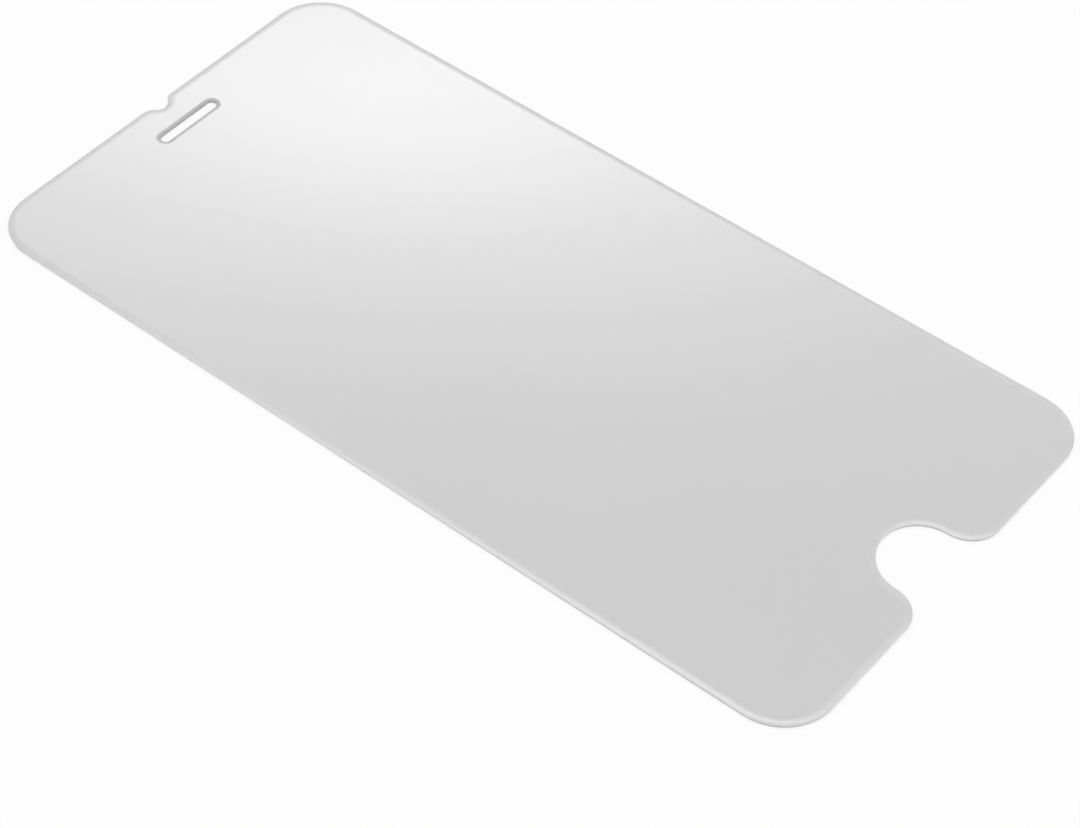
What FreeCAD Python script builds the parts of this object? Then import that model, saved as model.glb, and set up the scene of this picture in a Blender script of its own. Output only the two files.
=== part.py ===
"""Phone screen protector: one flat sheet of tempered glass with a ground rim and three cut-outs.

Millimetres. X runs across the sheet, Y along it from the home-button end to the ear-speaker end,
and Z up from the adhesive back face. The origin is the middle of the back face.
"""

import FreeCAD, Part
import math
import os

Vector = FreeCAD.Vector

# The sheet
SHEET_WIDTH = 66.0
SHEET_LENGTH = 132.0
SHEET_THICKNESS = 0.33
CORNER_RADIUS = 7.5

# The ground edge: an arc falls from the front face to an upright land, and a chamfer breaks the back
RIM_WIDTH = 1.0
EDGE_LAND = 0.10
BACK_CHAMFER = 0.05
RIM_DROP = SHEET_THICKNESS - EDGE_LAND - BACK_CHAMFER

# The notch in the near edge that leaves the phone's round home button free
BUTTON_DIAMETER = 11.0
BUTTON_CLEARANCE = 0.2
BUTTON_INSET = 4.5
BUTTON_LIP_RADIUS = 4.5
BUTTON_NOTCH_RADIUS = BUTTON_DIAMETER / 2 + BUTTON_CLEARANCE

# The shallow notch in the far edge that leaves the front sensor free
# Its lips keep a radius of their own inside the ground rim
SENSOR_NOTCH_RADIUS = 1.6
SENSOR_NOTCH_DEPTH = 1.4
SENSOR_LIP_FACE_RADIUS = 0.8
SENSOR_LIP_RADIUS = SENSOR_LIP_FACE_RADIUS + RIM_WIDTH
SENSOR_INSET = SENSOR_NOTCH_DEPTH - SENSOR_NOTCH_RADIUS

# The round-ended slot over the ear speaker, placed from the far edge to its centre line
SLOT_LENGTH = 10.5
SLOT_WIDTH = 1.4
SLOT_INSET = 5.9
SLOT_RIM_WIDTH = 0.6

HALF_WIDTH = SHEET_WIDTH / 2
HALF_LENGTH = SHEET_LENGTH / 2

# Points closer in height than this are level
LEVEL_TOLERANCE = 1e-6


def line(start, end):
    return Part.LineSegment(start, end).toShape()


def arc(centre, radius, start_angle, end_angle):
    """An arc in plan between two angles in degrees, which runs the way that the angles go."""
    def point(angle):
        turn = math.radians(angle)
        return centre + Vector(math.cos(turn), math.sin(turn)) * radius
    middle = point((start_angle + end_angle) / 2)
    return Part.Arc(point(start_angle), middle, point(end_angle)).toShape()


def half_outline(notch_radius, inset, lip_radius):
    """The near end with its round notch between two lips, then the right side with its two corners.

    inset is how far the notch's centre lies inside the edge. Each lip is tangent to the edge and the notch.
    """
    edge_y = -HALF_LENGTH
    corner_x = HALF_WIDTH - CORNER_RADIUS
    corner_y = HALF_LENGTH - CORNER_RADIUS
    reach = notch_radius + lip_radius
    lip_x = math.sqrt(reach ** 2 - (lip_radius - inset) ** 2)
    lip_y = edge_y + lip_radius
    lip_turn = math.degrees(math.acos((lip_radius - inset) / reach))
    return [
        line(Vector(-corner_x, edge_y), Vector(-lip_x, edge_y)),
        arc(Vector(-lip_x, lip_y), lip_radius, -90, -90 + lip_turn),
        arc(Vector(0, edge_y + inset), notch_radius, 90 + lip_turn, 90 - lip_turn),
        arc(Vector(lip_x, lip_y), lip_radius, 270 - lip_turn, 270),
        line(Vector(lip_x, edge_y), Vector(corner_x, edge_y)),
        arc(Vector(corner_x, -corner_y), CORNER_RADIUS, -90, 0),
        line(Vector(HALF_WIDTH, -corner_y), Vector(HALF_WIDTH, corner_y)),
        arc(Vector(corner_x, corner_y), CORNER_RADIUS, 0, 90),
    ]


def sheet_outline():
    """The sheet's outer edge, counter-clockwise from the left of the near end."""
    near_half = half_outline(BUTTON_NOTCH_RADIUS, BUTTON_INSET, BUTTON_LIP_RADIUS)
    far_half = half_outline(SENSOR_NOTCH_RADIUS, SENSOR_INSET, SENSOR_LIP_RADIUS)
    return near_half + [edge.rotated(Vector(), Vector(0, 0, 1), 180) for edge in far_half]


def slot_outline():
    """The slot's edge, clockwise, so that the glass lies on the same hand as along the outer edge."""
    centre_y = HALF_LENGTH - SLOT_INSET
    end_radius = SLOT_WIDTH / 2
    end_x = SLOT_LENGTH / 2 - end_radius
    top_y = centre_y + end_radius
    bottom_y = centre_y - end_radius
    return [
        line(Vector(-end_x, top_y), Vector(end_x, top_y)),
        arc(Vector(end_x, centre_y), end_radius, 90, -90),
        line(Vector(end_x, bottom_y), Vector(-end_x, bottom_y)),
        arc(Vector(-end_x, centre_y), end_radius, 270, 90),
    ]


def edge_profile(foot, rim_width):
    """The ground edge in section, where an outline runs along +X with the glass towards +Y."""
    land_top = BACK_CHAMFER + EDGE_LAND
    rim_radius = (rim_width ** 2 + RIM_DROP ** 2) / (2 * RIM_DROP)
    half_turn = math.atan2(rim_width, rim_radius - RIM_DROP) / 2

    def point(depth, height):
        return foot + Vector(0, depth, height)

    rim_middle = point(rim_width - rim_radius * math.sin(half_turn),
                       SHEET_THICKNESS - rim_radius * (1 - math.cos(half_turn)))
    rim = Part.Arc(point(0, land_top), rim_middle, point(rim_width, SHEET_THICKNESS)).toShape()
    return Part.Wire([
        line(point(BACK_CHAMFER, 0), point(0, BACK_CHAMFER)),
        line(point(0, BACK_CHAMFER), point(0, land_top)),
        rim,
    ])


def level_loop(band, height):
    """The closed line of a band's edges that lie at one height."""
    def is_level(edge):
        return all(abs(vertex.Z - height) < LEVEL_TOLERANCE for vertex in edge.Vertexes)
    return Part.Wire(Part.sortEdges([edge for edge in band.Edges if is_level(edge)])[0])


def ground_edge(outline, rim_width):
    """The faces of an edge swept along an outline, and the lines where it meets the back and front."""
    start = outline[0].valueAt(outline[0].FirstParameter)
    band = Part.Wire(outline).makePipeShell([edge_profile(start, rim_width)], False, False)
    return band.Faces, level_loop(band, 0), level_loop(band, SHEET_THICKNESS)


def screen_protector():
    rim_faces, back_edge, front_edge = ground_edge(sheet_outline(), RIM_WIDTH)
    slot_faces, back_slot, front_slot = ground_edge(slot_outline(), SLOT_RIM_WIDTH)
    back = Part.makeFace([back_edge, back_slot], "Part::FaceMakerBullseye")
    front = Part.makeFace([front_edge, front_slot], "Part::FaceMakerBullseye")
    shell = Part.makeShell(rim_faces + slot_faces + back.Faces + front.Faces)
    shell.sewShape()
    return Part.makeSolid(shell)


os.makedirs("parts", exist_ok=True)
screen_protector().exportStep("parts/screen_protector.step")
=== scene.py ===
"""A phone screen protector: one thin sheet of tempered glass that lies face up on a white table.

Metres, in the part's own frame: +X across the sheet, +Y from the home-button notch to the ear-speaker
slot, and +Z out of the polished front face.
"""

import math

import bmesh
import bpy
from mathutils import Matrix, Vector
from mathutils.geometry import delaunay_2d_cdt
from mathutils.kdtree import KDTree


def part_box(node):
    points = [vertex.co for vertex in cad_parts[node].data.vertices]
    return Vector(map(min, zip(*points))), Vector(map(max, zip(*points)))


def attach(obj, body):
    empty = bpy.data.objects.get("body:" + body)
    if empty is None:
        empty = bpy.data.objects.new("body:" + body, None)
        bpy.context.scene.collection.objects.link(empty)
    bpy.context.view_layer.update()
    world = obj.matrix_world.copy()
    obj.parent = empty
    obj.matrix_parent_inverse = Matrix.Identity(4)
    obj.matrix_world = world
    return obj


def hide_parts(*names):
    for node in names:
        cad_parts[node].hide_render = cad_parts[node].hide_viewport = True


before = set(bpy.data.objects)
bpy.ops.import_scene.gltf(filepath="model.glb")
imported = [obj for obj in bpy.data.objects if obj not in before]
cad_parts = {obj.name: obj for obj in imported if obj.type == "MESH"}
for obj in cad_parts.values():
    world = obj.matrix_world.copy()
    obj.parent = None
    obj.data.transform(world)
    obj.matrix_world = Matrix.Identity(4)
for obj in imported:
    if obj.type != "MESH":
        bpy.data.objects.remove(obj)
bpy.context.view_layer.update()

MM = 0.001
WHITE = (1.0, 1.0, 1.0, 1.0)

# The sheet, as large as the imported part
SHEET_NODE = "screen_protector"
_, sheet_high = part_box(SHEET_NODE)
HALF_WIDTH = sheet_high.x
HALF_LENGTH = sheet_high.y
THICKNESS = sheet_high.z
CORNER_RADIUS = 7.5 * MM

# The ground edge: an arc falls from the front face to an upright land, and a chamfer breaks the back
RIM_WIDTH = 1.0 * MM
SLOT_RIM_WIDTH = 0.6 * MM
EDGE_LAND = 0.10 * MM
BACK_CHAMFER = 0.05 * MM
LAND_TOP = BACK_CHAMFER + EDGE_LAND

# The home-button notch, the sensor notch and the ear-speaker slot
BUTTON_NOTCH = {"notch_radius": 5.7 * MM, "inset": 4.5 * MM, "lip_radius": 4.5 * MM}
SENSOR_NOTCH = {"notch_radius": 1.6 * MM, "inset": -0.2 * MM, "lip_radius": 1.8 * MM}
SLOT_LENGTH = 10.5 * MM
SLOT_WIDTH = 1.4 * MM
SLOT_INSET = 5.9 * MM

# How finely the sheet is divided: arcs by degrees, and the faces by a grid that stays clear of their edges
STRAIGHT_STEP = 2.0 * MM
ARC_STEP = 2.5
RIM_STEPS = 12
FACE_STEP = 3.0 * MM
FACE_CLEARANCE = 0.8 * FACE_STEP
MERGE_DISTANCE = 1e-7

# The triangulation's number for keeping only the triangles inside the loops
INSIDE_ONLY = 1

# A narrow flat band of the front face, which keeps its shading level up to the rim
FACE_MARGIN = 0.08 * MM

# The rings of the ground edge that stay sharp, counted from the back: the chamfer's two and the land's top
SHARP_RINGS = 3

# The sheet's finishes, in the order of its material slots
FRONT, RIM, SLOT, BACK = range(4)

# Where the photograph was taken from, in degrees and metres
CAMERA_AIM = Vector((-0.01115, -0.01093, 0.0))
CAMERA_AZIMUTH = -53.48
CAMERA_ELEVATION = 47.16
CAMERA_ROLL = 3.02
CAMERA_DISTANCE = 0.3787
CAMERA_NEAR = 0.01
CAMERA_LENS = 100.0
CAMERA_SENSOR = 36.0

# The glass, whose tint wanders between two limits, and what each face lets through of the room's light
GLASS_IOR = 1.5
TINT_SCALE = 25.0
FACE_TINT = (0.740, 0.754)
RIM_TINT = (0.77, 0.81)
# The slot edge's tint, much darker than the glass, is painted shade for the slot's steep walls
SLOT_PAINTED_SHADE_TINT = (0.60, 0.68)
LIGHT_TINT = (0.862, 0.862, 0.862, 1.0)

# The hard coat over the front and the rim, and the streaks that a wiping cloth leaves on the front
COAT_ROUGHNESS = 0.02
RIM_COAT_ROUGHNESS = 0.10
WIPE_SCALE = 60.0
WIPE_STRETCH = 0.15
WIPE_ROUGHNESS = (0.015, 0.045)

# The grain of the ground edges and the peel of the adhesive
RIM_GRAIN = 6000.0
RIM_ROUGHNESS = (0.26, 0.42)
SLOT_GRAIN = 4000.0
SLOT_ROUGHNESS = (0.40, 0.60)
GRAIN_BUMP = 0.15
PEEL_SCALE = 400.0
PEEL_ROUGHNESS = (0.10, 0.18)
PEEL_BUMP = 0.02
BUMP_DEPTH = 0.02 * MM

# The noise that all uneven tones come from, and the middle part of it that fills their limits
NOISE_DETAIL = 4.0
NOISE_SPAN = (0.3, 0.7)

# The light: an even white room, and clear cards whose soft glow shows only as a reflection in the glass
# A card stands across the sheet from its viewer, whose azimuth and elevation place it
# A glow has its spot on the card, its size across and up, and the strength at its peak
ROOM_LIGHT = 1.0
CARD_DISTANCE = 0.6
CARD_HALF_WIDTH = 0.6
CARD_HALF_HEIGHT = 0.4
GLOW_FALL = -2.0
MAIN_GLOW = {"spot": (-0.051, -0.102), "size": (0.226, 0.086), "peak": 2.9}
SIDE_GLOW = {"spot": (-0.05, -0.04), "size": (0.22, 0.12), "peak": 1.3}
SIDE_TURNS = (90, 180, 270)
RING_TURNS = range(0, 360, 45)
LOW_GLOW = {"spot": (-0.08, 0.0), "size": (0.15, 0.09), "peak": 0.9}
LOW_ELEVATION = 23.0
UNDER_GLOW = {"spot": (-0.08, 0.0), "size": (0.14, 0.18), "peak": 2.2}
UNDER_ELEVATION = -35.0

# The wide card high above the others, which the rim mirrors where it leans towards the camera
HIGH_GLOW = {"spot": (0.0, 0.0), "size": (0.55, 0.13), "peak": 3.3}
HIGH_ELEVATION = 76.0
HIGH_HALF_WIDTH = 1.2

# The round screen behind the cards, which only the glass mirrors: grey at the table and clear at its top
SCREEN_RADIUS = 1.2
SCREEN_HEIGHT = 0.9
SCREEN_TONE = 0.6
SCREEN_SIDES = 64

# The table top
FLOOR_HALF = 8.0
FLOOR_DROP = 0.05 * MM
FLOOR_TONE = (0.98, 0.99)
FLOOR_PATCHES = 1.5
FLOOR_ROUGHNESS = 0.9


def straight(start, end):
    """Points along a straight edge, each with the direction into the glass, up to but without its end."""
    along = (end - start).normalized()
    inward = Vector((-along.y, along.x))
    count = max(1, round((end - start).length / STRAIGHT_STEP))
    return [(start.lerp(end, i / count), inward) for i in range(count)]


def bend(centre, radius, start_angle, end_angle):
    """Points along an arc between two angles in degrees, each with the direction into the glass."""
    turn = end_angle - start_angle
    side = -1 if turn > 0 else 1
    count = math.ceil(abs(turn) / ARC_STEP)
    points = []
    for i in range(count):
        angle = math.radians(start_angle + turn * i / count)
        outward = Vector((math.cos(angle), math.sin(angle)))
        points.append((centre + outward * radius, outward * side))
    return points


def half_outline(notch_radius, inset, lip_radius):
    """The near end with its round notch between two lips, then the right side with its two corners.

    inset is how far the notch's centre lies inside the edge. Each lip is tangent to the edge and the notch.
    """
    edge_y = -HALF_LENGTH
    corner_x = HALF_WIDTH - CORNER_RADIUS
    corner_y = HALF_LENGTH - CORNER_RADIUS
    reach = notch_radius + lip_radius
    lip_x = math.sqrt(reach ** 2 - (lip_radius - inset) ** 2)
    lip_y = edge_y + lip_radius
    lip_turn = math.degrees(math.acos((lip_radius - inset) / reach))
    return [
        *straight(Vector((-corner_x, edge_y)), Vector((-lip_x, edge_y))),
        *bend(Vector((-lip_x, lip_y)), lip_radius, -90, -90 + lip_turn),
        *bend(Vector((0, edge_y + inset)), notch_radius, 90 + lip_turn, 90 - lip_turn),
        *bend(Vector((lip_x, lip_y)), lip_radius, 270 - lip_turn, 270),
        *straight(Vector((lip_x, edge_y)), Vector((corner_x, edge_y))),
        *bend(Vector((corner_x, -corner_y)), CORNER_RADIUS, -90, 0),
        *straight(Vector((HALF_WIDTH, -corner_y)), Vector((HALF_WIDTH, corner_y))),
        *bend(Vector((corner_x, corner_y)), CORNER_RADIUS, 0, 90),
    ]


def sheet_outline():
    """The outer edge, counter-clockwise: the near half, then the far half turned about the middle."""
    near_half = half_outline(**BUTTON_NOTCH)
    far_half = half_outline(**SENSOR_NOTCH)
    return near_half + [(-point, -inward) for point, inward in far_half]


def slot_outline():
    """The slot's edge, clockwise, so that the glass lies on the same hand as along the outer edge."""
    centre_y = HALF_LENGTH - SLOT_INSET
    end_radius = SLOT_WIDTH / 2
    end_x = SLOT_LENGTH / 2 - end_radius
    top_y = centre_y + end_radius
    bottom_y = centre_y - end_radius
    return [
        *straight(Vector((-end_x, top_y)), Vector((end_x, top_y))),
        *bend(Vector((end_x, centre_y)), end_radius, 90, -90),
        *straight(Vector((end_x, bottom_y)), Vector((-end_x, bottom_y))),
        *bend(Vector((-end_x, centre_y)), end_radius, 270, 90),
    ]


def edge_profile(rim_width):
    """The ground edge in section, from the back to the front, as distances into the glass and heights."""
    drop = THICKNESS - LAND_TOP
    radius = (rim_width ** 2 + drop ** 2) / (2 * drop)
    sweep = math.atan2(rim_width, radius - drop)
    profile = [(BACK_CHAMFER, 0.0), (0.0, BACK_CHAMFER)]
    for i in range(RIM_STEPS + 1):
        angle = sweep * (1 - i / RIM_STEPS)
        profile.append((rim_width - radius * math.sin(angle), THICKNESS - radius * (1 - math.cos(angle))))
    profile.append((rim_width + FACE_MARGIN, THICKNESS))
    return profile


def ground_edge(mesh, outline, rim_width, finish):
    """Lays the ground edge along an outline and returns the loops where it meets the back and the front."""
    rings = []
    for depth, height in edge_profile(rim_width):
        places = [point + inward * depth for point, inward in outline]
        rings.append([mesh.verts.new((place.x, place.y, height)) for place in places])
    for number, (lower, upper) in enumerate(zip(rings, rings[1:])):
        on_face = upper is rings[-1]
        for i in range(len(outline)):
            face = mesh.faces.new((lower[i - 1], lower[i], upper[i], upper[i - 1]))
            face.material_index = FRONT if on_face else finish
            if number < SHARP_RINGS:
                mesh.edges.get((lower[i - 1], lower[i])).smooth = False
    return rings[0], rings[-1]


def grid_places(edge_verts, height):
    """An even grid of places over the whole sheet, without those too close to an edge of the face."""
    near = KDTree(len(edge_verts))
    for i, vert in enumerate(edge_verts):
        near.insert(vert.co, i)
    near.balance()
    columns = math.floor(HALF_WIDTH / FACE_STEP)
    rows = math.floor(HALF_LENGTH / FACE_STEP)
    places = []
    for row in range(-rows, rows + 1):
        for column in range(-columns, columns + 1):
            place = Vector((column * FACE_STEP, row * FACE_STEP, height))
            _, _, distance = near.find(place)
            if distance > FACE_CLEARANCE:
                places.append(place.xy)
    return places


def closed_loop(start, count):
    """The pairs of neighbours round a loop of places that are numbered from a start."""
    return [(start + i, start + (i + 1) % count) for i in range(count)]


def flat_face(mesh, outer, slot, height, finish):
    """Fills the face between the outer loop and the slot's loop with even triangles."""
    edge_verts = outer + slot
    outer_count = len(outer)
    edge_count = len(edge_verts)
    places = [vert.co.xy for vert in edge_verts] + grid_places(edge_verts, height)
    bounds = closed_loop(0, outer_count) + closed_loop(outer_count, len(slot))
    filled = delaunay_2d_cdt(places, bounds, [], INSIDE_ONLY, MERGE_DISTANCE)
    points, _, triangles, sources, _, _ = filled
    verts = {}
    for triangle in triangles:
        # A triangle with all its corners on the slot's loop spans the slot, which stays open
        if all(outer_count <= sources[i][0] < edge_count for i in triangle):
            continue
        corners = []
        for i in triangle:
            if i not in verts:
                source = sources[i][0]
                on_edge = source < edge_count
                verts[i] = edge_verts[source] if on_edge else mesh.verts.new((*points[i], height))
            corners.append(verts[i])
        face = mesh.faces.new(corners if finish == FRONT else corners[::-1])
        face.material_index = finish


def glass_sheet(finishes):
    """The whole sheet as one closed mesh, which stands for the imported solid."""
    mesh = bmesh.new()
    back_edge, front_edge = ground_edge(mesh, sheet_outline(), RIM_WIDTH, RIM)
    back_slot, front_slot = ground_edge(mesh, slot_outline(), SLOT_RIM_WIDTH, SLOT)
    flat_face(mesh, front_edge, front_slot, THICKNESS, FRONT)
    flat_face(mesh, back_edge, back_slot, 0.0, BACK)
    for face in mesh.faces:
        face.smooth = True
    data = bpy.data.meshes.new("glass_sheet")
    mesh.to_mesh(data)
    mesh.free()
    for finish in finishes:
        data.materials.append(finish)
    sheet = bpy.data.objects.new("glass_sheet", data)
    bpy.context.scene.collection.objects.link(sheet)
    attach(sheet, "root")
    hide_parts(SHEET_NODE)


def uneven_tone():
    """A value that wanders between two limits over the surface, in patches or in streaks."""
    group = bpy.data.node_groups.new("uneven_tone", "ShaderNodeTree")
    for name in ("Scale", "Stretch", "Low", "High"):
        group.interface.new_socket(name=name, in_out="INPUT", socket_type="NodeSocketFloat")
    for name in ("Value", "Height"):
        group.interface.new_socket(name=name, in_out="OUTPUT", socket_type="NodeSocketFloat")
    nodes, links = group.nodes, group.links
    given = nodes.new("NodeGroupInput")
    result = nodes.new("NodeGroupOutput")
    place = nodes.new("ShaderNodeTexCoord")
    stretch = nodes.new("ShaderNodeCombineXYZ")
    stretch.inputs["X"].default_value = 1.0
    stretch.inputs["Z"].default_value = 1.0
    stretched = nodes.new("ShaderNodeVectorMath")
    stretched.operation = "MULTIPLY"
    noise = nodes.new("ShaderNodeTexNoise")
    noise.inputs["Detail"].default_value = NOISE_DETAIL
    spread = nodes.new("ShaderNodeMapRange")
    spread.inputs["From Min"].default_value, spread.inputs["From Max"].default_value = NOISE_SPAN
    links.new(given.outputs["Stretch"], stretch.inputs["Y"])
    links.new(place.outputs["Object"], stretched.inputs[0])
    links.new(stretch.outputs["Vector"], stretched.inputs[1])
    links.new(stretched.outputs["Vector"], noise.inputs["Vector"])
    links.new(given.outputs["Scale"], noise.inputs["Scale"])
    links.new(noise.outputs["Fac"], spread.inputs["Value"])
    links.new(given.outputs["Low"], spread.inputs["To Min"])
    links.new(given.outputs["High"], spread.inputs["To Max"])
    links.new(spread.outputs["Result"], result.inputs["Value"])
    links.new(noise.outputs["Fac"], result.inputs["Height"])
    return group


def soft_spot():
    """A mask that is full at one spot and dies away softly round it."""
    group = bpy.data.node_groups.new("soft_spot", "ShaderNodeTree")
    for name in ("Spot", "Size"):
        group.interface.new_socket(name=name, in_out="INPUT", socket_type="NodeSocketVector")
    group.interface.new_socket(name="Mask", in_out="OUTPUT", socket_type="NodeSocketFloat")
    nodes, links = group.nodes, group.links
    given = nodes.new("NodeGroupInput")
    result = nodes.new("NodeGroupOutput")
    place = nodes.new("ShaderNodeTexCoord")
    reach = nodes.new("ShaderNodeMapping")
    reach.vector_type = "TEXTURE"
    square = nodes.new("ShaderNodeVectorMath")
    square.operation = "DOT_PRODUCT"
    shift = nodes.new("ShaderNodeMath")
    shift.inputs[1].default_value = 1.0
    fall = nodes.new("ShaderNodeMath")
    fall.operation = "POWER"
    fall.inputs[1].default_value = GLOW_FALL
    links.new(place.outputs["Object"], reach.inputs["Vector"])
    links.new(given.outputs["Spot"], reach.inputs["Location"])
    links.new(given.outputs["Size"], reach.inputs["Scale"])
    links.new(reach.outputs["Vector"], square.inputs[0])
    links.new(reach.outputs["Vector"], square.inputs[1])
    links.new(square.outputs["Value"], shift.inputs[0])
    links.new(shift.outputs["Value"], fall.inputs[0])
    links.new(fall.outputs["Value"], result.inputs["Mask"])
    return group


UNEVEN_TONE = uneven_tone()
SOFT_SPOT = soft_spot()


def place_tone(tree, scale, limits, stretch=1.0):
    """Puts an uneven tone into a material. A stretch below 1 draws it out along Y, into streaks."""
    tone = tree.nodes.new("ShaderNodeGroup")
    tone.node_tree = UNEVEN_TONE
    tone.inputs["Scale"].default_value = scale
    tone.inputs["Stretch"].default_value = stretch
    tone.inputs["Low"].default_value, tone.inputs["High"].default_value = limits
    return tone


def add_bump(tree, shader, height, strength):
    """Roughens a shader's surface by a height."""
    bump = tree.nodes.new("ShaderNodeBump")
    bump.inputs["Strength"].default_value = strength
    bump.inputs["Distance"].default_value = BUMP_DEPTH
    tree.links.new(height, bump.inputs["Height"])
    tree.links.new(bump.outputs["Normal"], shader.inputs["Normal"])


def solid_material(name):
    """A new material, with its node tree and its own shader."""
    material = bpy.data.materials.new(name)
    material.use_nodes = True
    tree = material.node_tree
    return material, tree, tree.nodes["Principled BSDF"]


def bare_material(name):
    """A new material whose node tree is empty, for what only glows or dims."""
    material = bpy.data.materials.new(name)
    material.use_nodes = True
    material.node_tree.nodes.clear()
    return material, material.node_tree


def clear_where(tree, shader, share, tint):
    """Gives a material its shader, which turns clear with a tint as the share goes from 0 to 1."""
    clear = tree.nodes.new("ShaderNodeBsdfTransparent")
    clear.inputs["Color"].default_value = tint
    mix = tree.nodes.new("ShaderNodeMixShader")
    tree.links.new(share, mix.inputs["Fac"])
    tree.links.new(shader.outputs["BSDF"], mix.inputs[1])
    tree.links.new(clear.outputs["BSDF"], mix.inputs[2])
    tree.links.new(mix.outputs["Shader"], tree.nodes["Material Output"].inputs["Surface"])


def glass(name, tint):
    """Grey glass whose tint wanders a little, and which lets the room's light through to the table."""
    material, tree, shader = solid_material(name)
    shader.inputs["Transmission Weight"].default_value = 1.0
    shader.inputs["IOR"].default_value = GLASS_IOR
    tone = place_tone(tree, TINT_SCALE, tint)
    tree.links.new(tone.outputs["Value"], shader.inputs["Base Color"])
    path = tree.nodes.new("ShaderNodeLightPath")
    lit = tree.nodes.new("ShaderNodeMath")
    lit.operation = "MAXIMUM"
    tree.links.new(path.outputs["Is Shadow Ray"], lit.inputs[0])
    tree.links.new(path.outputs["Is Diffuse Ray"], lit.inputs[1])
    clear_where(tree, shader, lit.outputs["Value"], LIGHT_TINT)
    return material, tree, shader


def hard_coat(shader, roughness):
    """The clear hard layer that sheds grease."""
    shader.inputs["Coat Weight"].default_value = 1.0
    shader.inputs["Coat Roughness"].default_value = roughness
    shader.inputs["Coat IOR"].default_value = GLASS_IOR


def polished_front():
    """Polished glass with the faint streaks of a wiping cloth, under the hard coat."""
    material, tree, shader = glass("polished_front", FACE_TINT)
    hard_coat(shader, COAT_ROUGHNESS)
    wipe = place_tone(tree, WIPE_SCALE, WIPE_ROUGHNESS, WIPE_STRETCH)
    tree.links.new(wipe.outputs["Value"], shader.inputs["Roughness"])
    return material


def ground_glass(name, tint, grain_scale, roughness):
    """An edge as the wheel leaves it: frosted with a fine grain."""
    material, tree, shader = glass(name, tint)
    grain = place_tone(tree, grain_scale, roughness)
    tree.links.new(grain.outputs["Value"], shader.inputs["Roughness"])
    add_bump(tree, shader, grain.outputs["Height"], GRAIN_BUMP)
    return material, shader


def ground_rim():
    """The sheet's outer edge, which the hard coat of the front runs down over."""
    material, shader = ground_glass("ground_rim", RIM_TINT, RIM_GRAIN, RIM_ROUGHNESS)
    hard_coat(shader, RIM_COAT_ROUGHNESS)
    return material


def slot_edge():
    """The slot's edge, which is too narrow for the coat to reach and has a coarser grain. Its much darker
    tint is painted shade for the slot's steep walls.
    """
    material, _ = ground_glass("slot_edge", SLOT_PAINTED_SHADE_TINT, SLOT_GRAIN, SLOT_ROUGHNESS)
    return material


def adhesive_back():
    """The back under its film of clear adhesive, which has a fine even peel."""
    material, tree, shader = glass("adhesive_back", FACE_TINT)
    peel = place_tone(tree, PEEL_SCALE, PEEL_ROUGHNESS)
    tree.links.new(peel.outputs["Value"], shader.inputs["Roughness"])
    add_bump(tree, shader, peel.outputs["Height"], PEEL_BUMP)
    return material


def stage_piece(name, corners, faces, material):
    """A piece of the surroundings, which isn't part of the object."""
    data = bpy.data.meshes.new(name)
    data.from_pydata(corners, [], faces)
    data.materials.append(material)
    piece = bpy.data.objects.new(name, data)
    bpy.context.scene.collection.objects.link(piece)
    return piece


def plane(name, half_width, half_height, material):
    """A flat stage piece in its own XY plane."""
    corners = [
        (-half_width, -half_height, 0),
        (half_width, -half_height, 0),
        (half_width, half_height, 0),
        (-half_width, half_height, 0),
    ]
    return stage_piece(name, corners, [(0, 1, 2, 3)], material)


def show_in_gloss_only(piece):
    """Leaves a piece to be seen only as a reflection."""
    piece.visible_camera = False
    piece.visible_diffuse = False
    piece.visible_transmission = False
    piece.visible_shadow = False


def table_top():
    """A matt white top that is clear from below, so that the sheet's back can be looked at.

    It is left out of reflections, so that the back mirrors the cards under the table.
    """
    material, tree, shader = solid_material("white_table")
    shader.inputs["Roughness"].default_value = FLOOR_ROUGHNESS
    shader.inputs["Specular IOR Level"].default_value = 0.0
    tone = place_tone(tree, FLOOR_PATCHES, FLOOR_TONE)
    tree.links.new(tone.outputs["Value"], shader.inputs["Base Color"])
    side = tree.nodes.new("ShaderNodeNewGeometry")
    clear_where(tree, shader, side.outputs["Backfacing"], WHITE)
    floor = plane("table_top", FLOOR_HALF, FLOOR_HALF, material)
    floor.location.z = -FLOOR_DROP
    floor.visible_glossy = False


def glow_material(name, spot, size, peak):
    """Clear, with white light that is strongest at one spot and dies away softly round it."""
    material, tree = bare_material(name)
    material.cycles.emission_sampling = "NONE"
    mask = tree.nodes.new("ShaderNodeGroup")
    mask.node_tree = SOFT_SPOT
    mask.inputs["Spot"].default_value = (*spot, 0.0)
    mask.inputs["Size"].default_value = (*size, 1.0)
    glow = tree.nodes.new("ShaderNodeEmission")
    glow.inputs["Strength"].default_value = peak
    clear = tree.nodes.new("ShaderNodeBsdfTransparent")
    both = tree.nodes.new("ShaderNodeAddShader")
    output = tree.nodes.new("ShaderNodeOutputMaterial")
    tree.links.new(mask.outputs["Mask"], glow.inputs["Color"])
    tree.links.new(glow.outputs["Emission"], both.inputs[0])
    tree.links.new(clear.outputs["BSDF"], both.inputs[1])
    tree.links.new(both.outputs["Shader"], output.inputs["Surface"])
    return material


def turned(azimuth, tilt):
    """A turn about the upright axis after a tilt about X, in degrees."""
    return Matrix.Rotation(math.radians(azimuth), 4, "Z") @ Matrix.Rotation(math.radians(tilt), 4, "X")


def glow_card(name, azimuth, elevation, material, half_width=CARD_HALF_WIDTH):
    """Stands where the sheet mirrors it to a viewer at that azimuth and elevation."""
    card = plane(name, half_width, CARD_HALF_HEIGHT, material)
    facing = turned(azimuth, 90 + elevation)
    card.matrix_world = Matrix.Translation(CAMERA_AIM) @ facing @ Matrix.Translation((0, 0, -CARD_DISTANCE))
    show_in_gloss_only(card)


def card_ring(name, turns, elevation, glow):
    """Like cards round the sheet, each at a turn in degrees from the place across from the camera."""
    material = glow_material(name, **glow)
    for turn in turns:
        glow_card(f"{name}_{turn}", CAMERA_AZIMUTH + turn, elevation, material)


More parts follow.
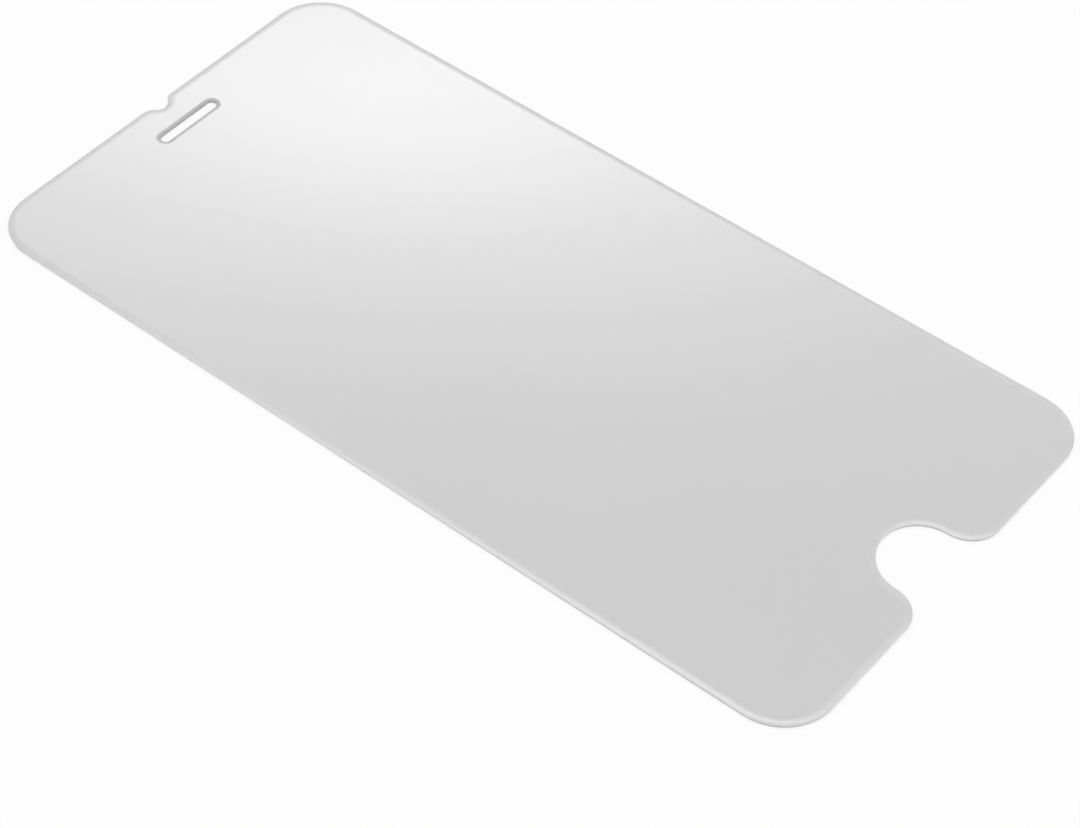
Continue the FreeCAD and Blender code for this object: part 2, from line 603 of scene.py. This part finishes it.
def glow_cards():
    """The highlight that the photograph shows, and weaker ones for every other side."""
    main = glow_material("main_card", **MAIN_GLOW)
    glow_card("main_card", CAMERA_AZIMUTH, CAMERA_ELEVATION, main)
    card_ring("side_card", SIDE_TURNS, CAMERA_ELEVATION, SIDE_GLOW)
    card_ring("low_card", RING_TURNS, LOW_ELEVATION, LOW_GLOW)
    card_ring("under_card", RING_TURNS, UNDER_ELEVATION, UNDER_GLOW)
    high = glow_material("high_card", **HIGH_GLOW)
    glow_card("high_card", CAMERA_AZIMUTH, HIGH_ELEVATION, high, HIGH_HALF_WIDTH)


def screen_material():
    """Dims what is seen through it, most of all at the table."""
    material, tree = bare_material("grey_screen")
    place = tree.nodes.new("ShaderNodeTexCoord")
    axes = tree.nodes.new("ShaderNodeSeparateXYZ")
    tone = tree.nodes.new("ShaderNodeMapRange")
    tone.interpolation_type = "SMOOTHSTEP"
    tone.inputs["From Max"].default_value = SCREEN_HEIGHT
    tone.inputs["To Min"].default_value = SCREEN_TONE
    clear = tree.nodes.new("ShaderNodeBsdfTransparent")
    output = tree.nodes.new("ShaderNodeOutputMaterial")
    tree.links.new(place.outputs["Object"], axes.inputs["Vector"])
    tree.links.new(axes.outputs["Z"], tone.inputs["Value"])
    tree.links.new(tone.outputs["Result"], clear.inputs["Color"])
    tree.links.new(clear.outputs["BSDF"], output.inputs["Surface"])
    return material


def grey_screen():
    """Keeps the glass grey in low views, where it mirrors more of the room than of the table."""
    corners = []
    faces = []
    for side in range(SCREEN_SIDES):
        turn = math.tau * side / SCREEN_SIDES
        x = SCREEN_RADIUS * math.cos(turn)
        y = SCREEN_RADIUS * math.sin(turn)
        corners += [(x, y, 0.0), (x, y, SCREEN_HEIGHT)]
        low = 2 * side
        next_low = 2 * ((side + 1) % SCREEN_SIDES)
        faces.append((low, next_low, next_low + 1, low + 1))
    show_in_gloss_only(stage_piece("grey_screen", corners, faces, screen_material()))


def white_room():
    """Even white light from all round."""
    world = bpy.data.worlds.new("white_room")
    bpy.context.scene.world = world
    world.use_nodes = True
    background = world.node_tree.nodes["Background"]
    background.inputs["Color"].default_value = WHITE
    background.inputs["Strength"].default_value = ROOM_LIGHT


def photo_camera():
    """Stands where the photograph was taken from."""
    data = bpy.data.cameras.new("photo_camera")
    data.sensor_width = CAMERA_SENSOR
    data.lens = CAMERA_LENS
    data.clip_start = CAMERA_NEAR
    camera = bpy.data.objects.new("photo_camera", data)
    bpy.context.scene.collection.objects.link(camera)
    view = turned(CAMERA_AZIMUTH, 90 - CAMERA_ELEVATION) @ Matrix.Translation((0, 0, CAMERA_DISTANCE))
    roll = Matrix.Rotation(math.radians(CAMERA_ROLL), 4, "Z")
    camera.matrix_world = Matrix.Translation(CAMERA_AIM) @ view @ roll
    bpy.context.scene.camera = camera


glass_sheet([polished_front(), ground_rim(), slot_edge(), adhesive_back()])
table_top()
glow_cards()
grey_screen()
white_room()
photo_camera()
bpy.context.scene.view_settings.view_transform = "Standard"
